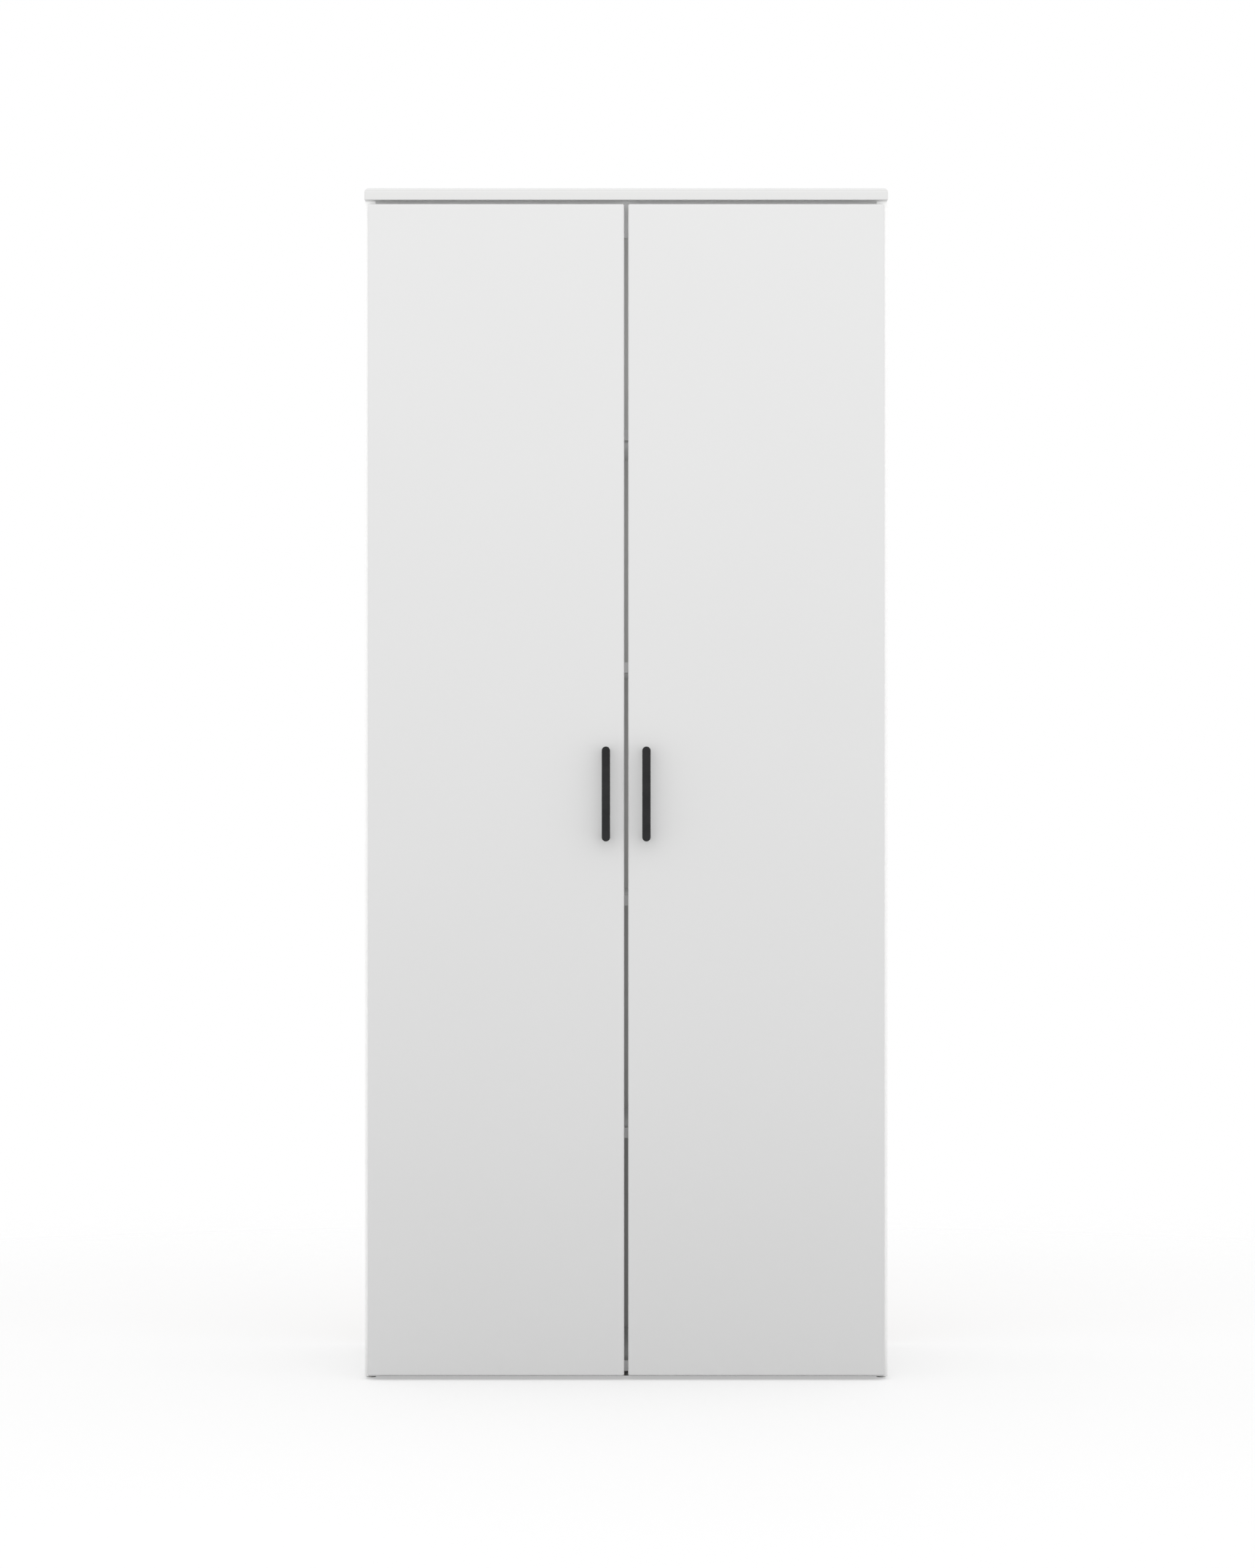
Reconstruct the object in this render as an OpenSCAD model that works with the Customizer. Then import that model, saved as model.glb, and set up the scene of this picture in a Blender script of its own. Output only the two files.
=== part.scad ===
// Tall two-door wardrobe with four shelves, built from laminated boards with knock-down fittings.
// X runs across the width, Y from the front (-Y) to the wall (+Y), Z up. The origin is on the floor,
// under the middle of the whole object, handles included.

/* [Carcass] */
// Width over the side panels
overall_w = 790; // [700:10:900]
// Height from the floor to the top of the top panel
overall_h = 1800; // [1800:10:1900]
// Depth from the doors' front to the back, without the handles
overall_d = 520; // [450:10:600]
// Thickness of the side, bottom and shelf boards
board_t = 16; // [16:1:17]
// Thickness of the top panel
top_t = 18; // [16:1:22]
// Thickness of the hardboard back
back_t = 3; // [3:0.5:4]
// Height of the front rail under the top panel
rail_h = 56; // [50:1:70]
// Height of the glides under the side panels
glide_h = 4; // [3:1:6]
// Height of the bottom panel's underside above the floor
bottom_z = 12; // [10:1:16]

/* [Shelves] */
// Height from one shelf to the next
shelf_pitch = 352; // [320:32:352]
// How far the loose shelves stand back from the carcass front
shelf_setback = 3; // [2:1:20]
// Play at each end of a loose shelf
shelf_play = 1; // [1:0.5:2]

/* [Doors] */
// Door thickness
door_t = 16; // [16:1:19]
// Gap between the two doors
door_gap = 6; // [3:0.5:8]
// Width of side panel left showing beside each door
door_reveal = 5; // [4.5:0.5:5.5]
// Height of the doors' lower edge above the floor
door_foot = 6; // [5:1:10]
// Shadow gap between the doors and the top panel
top_gap = 6; // [3:0.5:8]
// Space between the shut doors and the carcass front
door_standoff = 2; // [2:0.1:2.5]

/* [Handles] */
// Length of the handle bar
handle_len = 143; // [120:1:180]
// Width of the handle bar
handle_w = 12.5; // [10:0.5:16]
// Thickness of the handle bar
handle_t = 8; // [6:0.5:10]
// Distance from the door face to the handle's front
handle_reach = 28; // [24:1:36]
// Distance between the handle's two posts
handle_pitch = 128; // [96:32:128]
// Distance from the middle of the wardrobe to each handle
handle_x = 30.5; // [25:0.5:45]
// Height of the handles' centre above the floor
handle_z = 885; // [800:5:1000]

/* [Hinges] */
// Height of the lowest hinge above the floor
hinge_first_z = 116; // [100:1:130]
// Depth of the hinge cup in the door
cup_depth = 11.5; // [11:0.5:12]

/* [Hidden] */

$fn = 32;
// Overshoot of a cutting tool past the face it cuts
past = 1;
// Pitch of the rows of drilled holes, which the shelves, hinges and dowels follow
system_pitch = 32;

// Depth stations, from the handles' front to the back
total_d = overall_d + handle_reach;
door_front_y = -total_d / 2 + handle_reach;
door_back_y = door_front_y + door_t;
front_y = door_back_y + door_standoff;
strip_t = 1;
back_face_y = total_d / 2 - strip_t;
rear_y = back_face_y - back_t;

// Width and height stations
outer_x = overall_w / 2;
inner_x = outer_x - board_t;
top_z = overall_h - top_t;
rail_z = top_z - rail_h;
door_h = top_z - top_gap - door_foot;

// Centre heights of the boards between the side panels
bottom_mid = bottom_z + board_t / 2;
shelf_mid = [for (i = [1:4]) bottom_mid + i * shelf_pitch];
fixed_mid = shelf_mid[2];

module both_sides() {
    children();
    mirror([1, 0, 0]) children();
}

// Board between two opposite corners
module board(low, high) {
    translate(low) cube(high - low);
}

// ---- Knock-down fittings ----
// Each joint's own frame has its origin on the face of the board that takes the bolt, +X running into the
// board that takes the cam, and the cam's mouth on that board's -Z face.

cam_reach = 34;
cam_d = 15;
cam_depth = 12.5;
bolt_d = 5;
bolt_in_face = 11;
bolt_bore_d = 8;
bolt_head_d = 6.5;
bolt_neck_d = 4;
// The neck that the cam grips, from this far before the cam's middle to this far before it
bolt_neck = [7, 2.5];
// Length of the bolt's head past the cam's middle
bolt_tip = 1.5;
dowel_d = 8;
dowel_in_face = 10;
dowel_in_edge = 20;
// Play between a fitting and its hole, on the radius
fit_play = 0.1;
// Front and rear joints on a side panel, and the dowels beside them
joint_inset = 50;
dowel_inset = joint_inset + system_pitch;
joint_y = [front_y + joint_inset, rear_y - joint_inset];
dowel_y = [front_y + dowel_inset, rear_y - dowel_inset];

module bottom_joints(stations) {
    for (y = stations) translate([-inner_x, y, bottom_mid]) children();
}

module fixed_shelf_joints(stations) {
    for (y = stations) translate([-inner_x, y, fixed_mid]) children();
}

module top_joints(stations) {
    for (y = stations) translate([-inner_x - board_t / 2, y, top_z]) rotate([180, 90, 0]) children();
}

// The rail lies on its side: its cams open towards the back
module rail_joint(height) {
    translate([-inner_x, front_y + board_t / 2, rail_z + height]) rotate([90, 0, 0]) children();
}

// Heights of the cam and the dowel in the rail's end, above its lower edge
rail_cam_h = rail_h * 0.6;
rail_dowel_h = rail_h * 0.25;

module cam_joints() {
    bottom_joints(joint_y) children();
    fixed_shelf_joints(joint_y) children();
    top_joints(joint_y) children();
    rail_joint(rail_cam_h) children();
}

module dowel_joints() {
    bottom_joints(dowel_y) children();
    fixed_shelf_joints(dowel_y) children();
    top_joints(dowel_y) children();
    rail_joint(rail_dowel_h) children();
}

module rod(from_x, to_x, diameter) {
    translate([from_x, 0, 0]) rotate([0, 90, 0]) cylinder(h = to_x - from_x, d = diameter);
}

module bolt_holes() {
    rod(-bolt_in_face, past, bolt_d);
    rod(-past, cam_reach, bolt_bore_d);
    translate([cam_reach, 0, -board_t / 2 - past]) cylinder(h = cam_depth + past, d = cam_d);
}

module dowel_holes() {
    rod(-dowel_in_face, dowel_in_edge, dowel_d);
}

module cam_bolt() {
    rod(fit_play - bolt_in_face, 0, bolt_d - 2 * fit_play);
    rod(0, cam_reach - bolt_neck[0], bolt_head_d);
    rod(cam_reach - bolt_neck[0], cam_reach - bolt_neck[1], bolt_neck_d);
    rod(cam_reach - bolt_neck[1], cam_reach + bolt_tip, bolt_head_d);
}

// Round cam with a channel for the bolt's head and a cross slot for the screwdriver
module cam_lock() {
    slot_w = 1.6;
    slot_len = 7;
    slot_depth = 2.5;
    channel_d = 7.2;
    channel_end = 3;
    translate([cam_reach, 0, 0]) difference() {
        translate([0, 0, -board_t / 2]) cylinder(h = cam_depth - fit_play, d = cam_d - 2 * fit_play);
        rod(-cam_d, channel_end, channel_d);
        for (turn = [0, 90]) rotate(turn) translate([-slot_len / 2, -slot_w / 2, -board_t / 2 - past])
            cube([slot_len, slot_w, slot_depth + past]);
    }
}

module cam_cap() {
    cap_t = 1.2;
    cap_d = 17;
    translate([cam_reach, 0, -board_t / 2 - cap_t]) cylinder(h = cap_t, d = cap_d);
}

module dowel() {
    rod(fit_play - dowel_in_face, dowel_in_edge - fit_play, dowel_d - 2 * fit_play);
}

module cam_locks() {
    color("#b9bcbe") both_sides() cam_joints() cam_lock();
}

module cam_bolts() {
    color("#c9c3b0") both_sides() cam_joints() cam_bolt();
}

module cam_caps() {
    color("#f2f2f0") both_sides() cam_joints() cam_cap();
}

module dowels() {
    color("#c9a26b") both_sides() dowel_joints() dowel();
}

// ---- Shelf pins ----

pin_hole_d = 5;
pin_hole_depth = 9;
loose_shelves = [0, 1, 3];
// The columns of pin holes: the front one also takes the hinge plates' screws
front_column = 37;
rear_column = 45;
column_y = [front_y + front_column, rear_y - rear_column];

// Height of the pins that carry a loose shelf
function pin_z(shelf) = shelf_mid[shelf] - board_t / 2 - pin_hole_d / 2;

module pin_places(shelf) {
    for (y = column_y) translate([-inner_x, y, pin_z(shelf)]) children();
}

module shelf_pins() {
    collar_d = 8;
    collar_t = 0.8;
    peg_len = 8;
    seat_len = 9;
    color("#c4c6c8") both_sides() for (shelf = loose_shelves) pin_places(shelf) {
        rod(-peg_len, 0, pin_hole_d - 2 * fit_play);
        difference() {
            rod(0, collar_t, collar_d);
            translate([-past, -collar_d / 2, pin_hole_d / 2])
                cube([collar_t + 2 * past, collar_d, collar_d]);
        }
        rod(collar_t, seat_len, pin_hole_d);
    }
}

// ---- Carcass boards ----

module left_side_board() {
    difference() {
        board([-outer_x, front_y, glide_h], [-inner_x, rear_y, top_z]);
        cam_joints() bolt_holes();
        dowel_joints() dowel_holes();
        for (shelf = loose_shelves) pin_places(shelf) for (step = [-1:1])
            translate([0, 0, step * system_pitch]) rod(-pin_hole_depth, past, pin_hole_d);
        left_hinge_places() plate_screw_places() rod(-plate_screw_len, past, plate_screw_d);
        glide_places() cylinder(h = glide_h + glide_nail_len, d = glide_nail_d);
    }
}

module left_side() {
    color("#f4f4f2") left_side_board();
}

module right_side() {
    color("#f4f4f2") mirror([1, 0, 0]) left_side_board();
}

module top_panel() {
    color("#f4f4f2") difference() {
        board([-outer_x, door_front_y, top_z], [outer_x, rear_y, overall_h]);
        both_sides() top_joints(joint_y) bolt_holes();
        both_sides() top_joints(dowel_y) dowel_holes();
        bracket_places() bracket_screw_places() cylinder(h = bracket_screw_len, d = bracket_screw_d);
    }
}

module bottom_panel() {
    color("#f4f4f2") difference() {
        board([-inner_x, front_y, bottom_z], [inner_x, rear_y, bottom_z + board_t]);
        both_sides() bottom_joints(joint_y) bolt_holes();
        both_sides() bottom_joints(dowel_y) dowel_holes();
        foot_places() cylinder(h = bottom_z + foot_peg_len, d = foot_peg_d);
    }
}

module top_rail() {
    color("#f4f4f2") difference() {
        board([-inner_x, front_y, rail_z], [inner_x, front_y + board_t, top_z]);
        both_sides() rail_joint(rail_cam_h) bolt_holes();
        both_sides() rail_joint(rail_dowel_h) dowel_holes();
    }
}

module loose_shelf(shelf) {
    x = inner_x - shelf_play;
    low = shelf_mid[shelf] - board_t / 2;
    color("#f4f4f2") board([-x, front_y + shelf_setback, low], [x, rear_y - strip_t, low + board_t]);
}

module shelf_1() {
    loose_shelf(0);
}

module shelf_2() {
    loose_shelf(1);
}

module shelf_4() {
    loose_shelf(3);
}

module fixed_shelf() {
    low = fixed_mid - board_t / 2;
    color("#f4f4f2") difference() {
        board([-inner_x, front_y, low], [inner_x, rear_y - strip_t, low + board_t]);
        both_sides() fixed_shelf_joints(joint_y) bolt_holes();
        both_sides() fixed_shelf_joints(dowel_y) dowel_holes();
    }
}

// ---- Back ----

nail_d = 1.4;
nail_head_d = 3.2;
nail_len = 22;
nail_head_t = 0.8;
nail_inset = 8;
back_low_z = bottom_z + 2;
back_high_z = overall_h - 2;
back_edge = 2;
strip_h = 14;

module back_half(low_z, high_z) {
    x = outer_x - back_edge;
    color("#f6f6f4") difference() {
        board([-x, rear_y, low_z], [x, back_face_y, high_z]);
        bracket_places() translate([0, 0, -bracket_hole_drop]) wall_hole(rear_y - past, back_face_y + past);
    }
}

module lower_back() {
    back_half(back_low_z, fixed_mid - strip_t / 2);
}

module upper_back() {
    back_half(fixed_mid + strip_t / 2, back_high_z);
}

// H-shaped strip that holds the two halves of the back together
module back_joint_strip() {
    x = inner_x - shelf_play;
    color("#f6f6f4") {
        for (y = [rear_y - strip_t, back_face_y])
            board([-x, y, fixed_mid - strip_h / 2], [x, y + strip_t, fixed_mid + strip_h / 2]);
        board([-x, rear_y, fixed_mid - strip_t / 2], [x, back_face_y, fixed_mid + strip_t / 2]);
    }
}

module back_nail() {
    translate([0, back_face_y, 0]) rotate([90, 0, 0]) {
        cylinder(h = nail_head_t, d = nail_head_d);
        cylinder(h = nail_len, d = nail_d);
    }
}

module back_nails() {
    low_rows = 6;
    high_rows = 4;
    edge_columns = 4;
    corner_gap = 60;
    board_gap = 40;
    low_z = bottom_mid + board_gap;
    low_pitch = (fixed_mid - board_gap - low_z) / (low_rows - 1);
    high_z = fixed_mid + board_gap;
    high_pitch = (overall_h - corner_gap - high_z) / (high_rows - 1);
    column_pitch = 2 * (inner_x - corner_gap) / (edge_columns - 1);
    color("#b5b7b9") {
        both_sides() translate([nail_inset - outer_x, 0, 0]) {
            for (i = [0:low_rows - 1]) translate([0, 0, low_z + i * low_pitch]) back_nail();
            for (i = [0:high_rows - 1]) translate([0, 0, high_z + i * high_pitch]) back_nail();
        }
        for (i = [0:edge_columns - 1], z = [bottom_mid, overall_h - nail_inset])
            translate([corner_gap - inner_x + i * column_pitch, 0, z]) back_nail();
    }
}

// ---- Feet ----

glide_d = 14;
glide_nail_d = 2;
glide_nail_len = 12;
glide_inset = 30;
foot_inset = 60;
foot_d = 32;
foot_peg_d = 8;
foot_peg_len = 9;

module glide_places() {
    for (y = [front_y + glide_inset, rear_y - glide_inset])
        translate([-inner_x - board_t / 2, y, 0]) children();
}

module side_glides() {
    color("#e6e6e2") both_sides() glide_places() {
        cylinder(h = glide_h, d = glide_d);
        cylinder(h = glide_h + glide_nail_len - fit_play, d = glide_nail_d - 2 * fit_play);
    }
}

module foot_places() {
    for (y = [front_y + foot_inset, rear_y - foot_inset]) translate([0, y, 0]) children();
}

module centre_feet() {
    color("#e6e6e2") foot_places() {
        cylinder(h = bottom_z, d = foot_d);
        cylinder(h = bottom_z + foot_peg_len - fit_play, d = foot_peg_d - 2 * fit_play);
    }
}

// ---- Anti-tip wall brackets, under the top panel against the back ----

bracket_x = 250;
bracket_w = 40;
bracket_leg = 36;
bracket_t = 2;
bracket_hole_drop = 22;
wall_hole_d = 5.5;
bracket_screw_d = 3.5;
bracket_screw_len = 12;
bracket_screw_x = 11;
// From the back face of the bracket to its screws
bracket_screw_y = 20;
bracket_bore_d = 4;

module bracket_places() {
    for (side = [-1, 1]) translate([side * bracket_x, 0, top_z]) children();
}

module wall_hole(from_y, to_y) {
    translate([0, to_y, 0]) rotate([90, 0, 0]) cylinder(h = to_y - from_y, d = wall_hole_d);
}

module bracket_screw_places() {
    for (x = [-bracket_screw_x, bracket_screw_x]) translate([x, rear_y - bracket_screw_y, 0]) children();
}

module wall_brackets() {
    color("#c4c6c8") bracket_places() difference() {
        union() {
            board([-bracket_w / 2, rear_y - bracket_leg, -bracket_t], [bracket_w / 2, rear_y, 0]);
            board([-bracket_w / 2, rear_y - bracket_t, -bracket_leg], [bracket_w / 2, rear_y, 0]);
        }
        translate([0, 0, -bracket_hole_drop]) wall_hole(rear_y - bracket_leg - past, rear_y + past);
        bracket_screw_places() translate([0, 0, -bracket_leg])
            cylinder(h = 2 * bracket_leg, d = bracket_bore_d);
    }
}

module wall_bracket_screws() {
    head_d = 7;
    head_t = 2;
    color("#c4c6c8") bracket_places() bracket_screw_places() {
        translate([0, 0, -bracket_t]) mirror([0, 0, 1]) cross_head(head_d, head_t);
        translate([0, 0, -bracket_t]) cylinder(h = bracket_t + bracket_screw_len - fit_play,
            d = bracket_screw_d - 2 * fit_play);
    }
}

// Round screw head with a cross slot, standing on the XY plane
module cross_head(diameter, height) {
    slot_w = diameter * 0.16;
    slot_len = diameter * 0.62;
    slot_floor = height * 0.4;
    difference() {
        cylinder(h = height, d = diameter);
        for (turn = [0, 90]) rotate(turn) translate([-slot_len / 2, -slot_w / 2, slot_floor])
            cube([slot_len, slot_w, height]);
    }
}

// ---- Doors and handles ----

handle_post_d = 8;
handle_bore_d = 4;
handle_bore_depth = 14;
handle_hole_d = 5;

module handle_post_places() {
    for (end = [-1, 1]) translate([-handle_x, 0, handle_z + end * handle_pitch / 2])
        rotate([90, 0, 0]) children();
}

module left_door_board() {
    edge_x = outer_x - door_reveal;
    difference() {
        board([-edge_x, door_front_y, door_foot], [-door_gap / 2, door_back_y, door_foot + door_h]);
        left_hinge_places() cup_hole();
        left_hinge_places() cup_screw_places() cylinder(h = cup_screw_len, d = cup_screw_d);
        handle_post_places() translate([0, 0, -door_back_y - past])
            cylinder(h = door_t + 2 * past, d = handle_hole_d);
    }
}

module left_door() {
    color("#f4f4f2") left_door_board();
}

module right_door() {
    color("#f4f4f2") mirror([1, 0, 0]) left_door_board();
}

// Flat bar with round ends on two posts with blind threaded bores
module handle() {
    straight = handle_len - handle_w;
    bar_back = -door_front_y + handle_reach - handle_t;
    difference() {
        union() {
            translate([-handle_x, 0, handle_z]) rotate([90, 0, 0]) translate([0, 0, bar_back])
                linear_extrude(handle_t) union() {
                    square([handle_w, straight], center = true);
                    for (end = [-1, 1]) translate([0, end * straight / 2]) circle(d = handle_w);
                }
            handle_post_places() translate([0, 0, -door_front_y])
                cylinder(h = handle_reach - handle_t / 2, d = handle_post_d);
        }
        handle_post_places() translate([0, 0, -door_front_y - past])
            cylinder(h = handle_bore_depth + past, d = handle_bore_d);
    }
}

module left_handle() {
    color("#26272a") handle();
}

module right_handle() {
    color("#26272a") mirror([1, 0, 0]) handle();
}

module handle_screws() {
    head_d = 8;
    head_t = 2.4;
    // Length of thread in the handle's post
    grip = 8;
    shank_len = door_t + grip;
    handle_post_places() translate([0, 0, -door_back_y]) {
        mirror([0, 0, 1]) cross_head(head_d, head_t);
        cylinder(h = shank_len, d = handle_bore_d - 2 * fit_play);
    }
}

module left_handle_screws() {
    color("#c4c6c8") handle_screws();
}

module right_handle_screws() {
    color("#c4c6c8") mirror([1, 0, 0]) handle_screws();
}

// Soft pads on the carcass front that the doors close on
module door_bumpers() {
    pad_d = 8;
    pad_gap = 0.3;
    pad_t = door_standoff - pad_gap;
    pad_x = 26;
    color("#dfe3e4") both_sides() for (z = [bottom_mid, fixed_mid, rail_z + rail_h / 2])
        translate([-pad_x, front_y, z]) rotate([90, 0, 0]) cylinder(h = pad_t, d = pad_d);
}

// ---- Concealed cup hinges ----
// Each hinge's own frame has its origin on the side panel's inner face at the carcass front, +X running into
// the wardrobe, +Y towards the back and Z about the hinge's middle. The left hinges are drawn, and the right
// ones are their mirror image.

hinge_count = 4;
hinge_pitch = 16 * system_pitch;
hinge_z = [for (i = [0:hinge_count - 1]) hinge_first_z + i * hinge_pitch];

// Four-bar linkage with the door shut. The outer link turns on the arm at outer_root and carries the cup at
// outer_tip. The inner link turns at inner_root, and its wide eye lies around the cup's pin at inner_tip.
outer_root = [21.4, 3.6];
outer_bend = [3.1, -5.6];
outer_tip = [-1.2, -4.0];
inner_root = [21.4, -6.9];
inner_bend = [2.7, -10.4];
inner_eye = [-0.6, -8.0];
inner_tip = [0.5, -8.0];
// Radius of a link's ends, and half the width of the bars between them
link_end_r = 2;
link_half_w = 1.8;
pin_d = 2;
// Play of a pin in a link, and of a pin pressed into an arm or a cup, on the radius
pin_play = 0.05;
pin_seat_play = 0.02;
// Play of the cup's pin in the inner link's eye, on the radius
open_pivot_play = 1.25;
inner_eye_r = pin_d / 2 + open_pivot_play + 1;
inner_half = 4.4;
outer_from = 4.7;
outer_to = 6.5;
cheek_from = 6.9;
cheek_to = 8.4;
nose_r = 2.5;
pocket_half = 9.2;
cup_d = 35;
// From the door's edge to the middle of the cup
cup_inset = 22;
cup_x = cup_inset - (board_t - door_reveal);
cup_wall = 0.8;
cup_floor = 1;
// How far the cup's pins reach into its walls
pin_seat = 1.2;
flange_t = 1;

plate_screw_d = 5;
plate_screw_len = 11;
cup_screw_d = 3.5;
cup_screw_len = 12;

module left_hinge_places() {
    for (z = hinge_z) translate([-inner_x, front_y, z]) children();
}

module right_hinge_places() {
    mirror([1, 0, 0]) left_hinge_places() children();
}

// Bar with square ends between two points of the XY plane
module flat_bar(from, to, radius) {
    span = to - from;
    translate(from) rotate(atan2(span[1], span[0])) translate([0, -radius]) square([norm(span), 2 * radius]);
}

// Bar with round ends between two points of the XY plane
module round_bar(from, to, radius) {
    flat_bar(from, to, radius);
    for (end = [from, to]) translate(end) circle(r = radius);
}

module plate_screw_places() {
    for (z = [-system_pitch / 2, system_pitch / 2]) translate([0, front_column, z]) children();
}

// Cylinder along the hinge's Y axis, standing on the door's back face: a positive length goes into the door
module into_door(point, from, length, diameter) {
    translate([point[0], -door_standoff + from, point[1]]) rotate([90, 0, 0])
        cylinder(h = length, d = diameter);
}

module cup_hole() {
    into_door([cup_x, 0], past, cup_depth + past, cup_d);
}

cup_screw_pitch = 48;
cup_screw_offset = 6;

module cup_screw_places() {
    for (z = [-cup_screw_pitch / 2, cup_screw_pitch / 2])
        translate([cup_x + cup_screw_offset, -door_standoff, z]) rotate([90, 0, 0]) children();
}

module pivot_holes(points, diameter) {
    for (p = points) translate([p[0], p[1], -cup_d]) cylinder(h = 2 * cup_d, d = diameter);
}

// Pin through a pivot, from one height to another
module pivot_pin(point, from_z, to_z) {
    translate([point[0], point[1], from_z]) cylinder(h = to_z - from_z, d = pin_d);
}

module arm_pins() {
    for (point = [outer_root, inner_root]) pivot_pin(point, -cheek_to, cheek_to);
}

// The outer link turns on two stub pins, one in each wall of the cup. They leave the middle to the inner link.
module cup_pins() {
    end_z = pocket_half + pin_seat;
    pivot_pin(inner_tip, -end_z, end_z);
    for (side = [0, 1]) mirror([0, 0, side]) pivot_pin(outer_tip, (inner_half + outer_from) / 2, end_z);
}

// Cup with a flange on the door's back face and a pocket for the links
module hinge_cup() {
    ear_r = 6.5;
    flange_d = 36;
    screw_bore_d = 4.1;
    difference() {
        union() {
            into_door([cup_x, 0], 0, cup_depth, cup_d - 2 * fit_play);
            into_door([cup_x, 0], flange_t, flange_t, flange_d);
            cup_screw_places() translate([0, 0, -flange_t]) cylinder(h = flange_t, r = ear_r);
            translate([cup_x + cup_screw_offset - ear_r, -door_standoff, -cup_screw_pitch / 2])
                cube([2 * ear_r, flange_t, cup_screw_pitch]);
        }
        intersection() {
            into_door([cup_x, 0], flange_t + past, cup_depth - cup_floor + flange_t + past,
                cup_d - 2 * cup_wall);
            translate([cup_x - cup_d, -cup_d, -pocket_half]) cube([2 * cup_d, 2 * cup_d, 2 * pocket_half]);
        }
        pivot_holes([outer_tip, inner_tip], pin_d + 2 * pin_seat_play);
        cup_screw_places() translate([0, 0, -2 * flange_t]) cylinder(h = 3 * flange_t, d = screw_bore_d);
    }
}

wing_t = 2.5;
wing_half_z = 23;
wing_from_y = 29;
wing_to_y = 45;
rib_x = 8.5;
rib_half = 6.4;
rib_from_y = 20;
rib_to_y = 58;
arm_x = 9;
arm_t = 1.5;
arm_from_y = 12;
arm_to_y = 62;
arm_low_x = 3.2;
arm_screw_y = [30, 50];
arm_screw_d = 4;
arm_bore_d = 4.4;
// Where the cheek's outline leaves the arm, and how far its corners stand in from the arm's front end
arm_neck_x = 6.7;
arm_neck_y = 3;

// Mounting plate: two screwed wings and a rib that the arm clips over
module hinge_plate() {
    difference() {
        union() {
            board([0, wing_from_y, -wing_half_z], [wing_t, wing_to_y, wing_half_z]);
            board([0, rib_from_y, -rib_half], [rib_x, rib_to_y, rib_half]);
        }
        plate_screw_places() rod(-past, wing_t + past, plate_screw_d + 2 * fit_play);
        for (y = arm_screw_y) translate([0, y, 0]) rod(wing_t, rib_x + past, arm_screw_d);
    }
}

module plate_screws() {
    head_d = 8.5;
    head_t = 1.8;
    plate_screw_places() {
        translate([wing_t, 0, 0]) rotate([0, 90, 0]) cross_head(head_d, head_t);
        rod(fit_play - plate_screw_len, wing_t, plate_screw_d - 2 * fit_play);
    }
}

// Side cheek of the arm, seen along Z
module arm_cheek() {
    translate([arm_low_x, arm_from_y]) square([arm_x + arm_t - arm_low_x, arm_to_y - arm_from_y]);
    neck = [arm_neck_x, arm_from_y + arm_neck_y];
    round_bar(neck, inner_root, nose_r);
    round_bar(neck, outer_root, nose_r);
    round_bar(inner_root, outer_root, nose_r);
    round_bar([arm_x + arm_t - nose_r, arm_from_y + arm_neck_y], outer_root, nose_r);
}

module hinge_arm() {
    difference() {
        union() {
            for (side = [0, 1]) mirror([0, 0, side]) translate([0, 0, cheek_from])
                linear_extrude(cheek_to - cheek_from) arm_cheek();
            board([arm_x, arm_from_y, -cheek_to], [arm_x + arm_t, arm_to_y, cheek_to]);
        }
        pivot_holes([outer_root, inner_root], pin_d + 2 * pin_seat_play);
        for (y = arm_screw_y) translate([0, y, 0]) rod(arm_x - past, arm_x + arm_t + past, arm_bore_d);
    }
}

module arm_screws() {
    head_d = 6.5;
    head_t = 1.8;
    for (y = arm_screw_y) translate([0, y, 0]) {
        translate([arm_x + arm_t, 0, 0]) rotate([0, 90, 0]) cross_head(head_d, head_t);
        rod(wing_t + fit_play, arm_x + arm_t, arm_screw_d - 2 * fit_play);
    }
}

// Bent link plate between two pivots, with a bearing hole at its root
module link_plate(root, bend, tip, tip_r, tip_hole_d, from_z, to_z) {
    translate([0, 0, from_z]) linear_extrude(to_z - from_z) difference() {
        union() {
            flat_bar(root, bend, link_half_w);
            flat_bar(bend, tip, link_half_w);
            for (end = [root, bend]) translate(end) circle(r = link_end_r);
            translate(tip) circle(r = tip_r);
        }
        translate(root) circle(d = pin_d + 2 * pin_play);
        translate(tip) circle(d = tip_hole_d);
    }
}

module outer_link() {
    for (side = [0, 1]) mirror([0, 0, side])
        link_plate(outer_root, outer_bend, outer_tip, link_end_r, pin_d + 2 * pin_play,
            outer_from, outer_to);
}

module inner_link() {
    link_plate(inner_root, inner_bend, inner_eye, inner_eye_r, pin_d + 2 * open_pivot_play,
        -inner_half, inner_half);
}

module left_hinge_plates() {
    color("#c8c4ba") left_hinge_places() hinge_plate();
}

module right_hinge_plates() {
    color("#c8c4ba") right_hinge_places() hinge_plate();
}

module cup_screws() {
    head_d = 7;
    head_t = 1.6;
    cup_screw_places() {
        translate([0, 0, -flange_t]) mirror([0, 0, 1]) cross_head(head_d, head_t);
        translate([0, 0, -flange_t]) cylinder(h = flange_t + cup_screw_len - fit_play,
            d = cup_screw_d - 2 * fit_play);
    }
}

module left_hinge_plate_screws() {
    color("#c4c6c8") left_hinge_places() plate_screws();
}

module right_hinge_plate_screws() {
    color("#c4c6c8") right_hinge_places() plate_screws();
}

module left_hinge_arms() {
    color("#c8c4ba") left_hinge_places() hinge_arm();
}

module right_hinge_arms() {
    color("#c8c4ba") right_hinge_places() hinge_arm();
}

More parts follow.
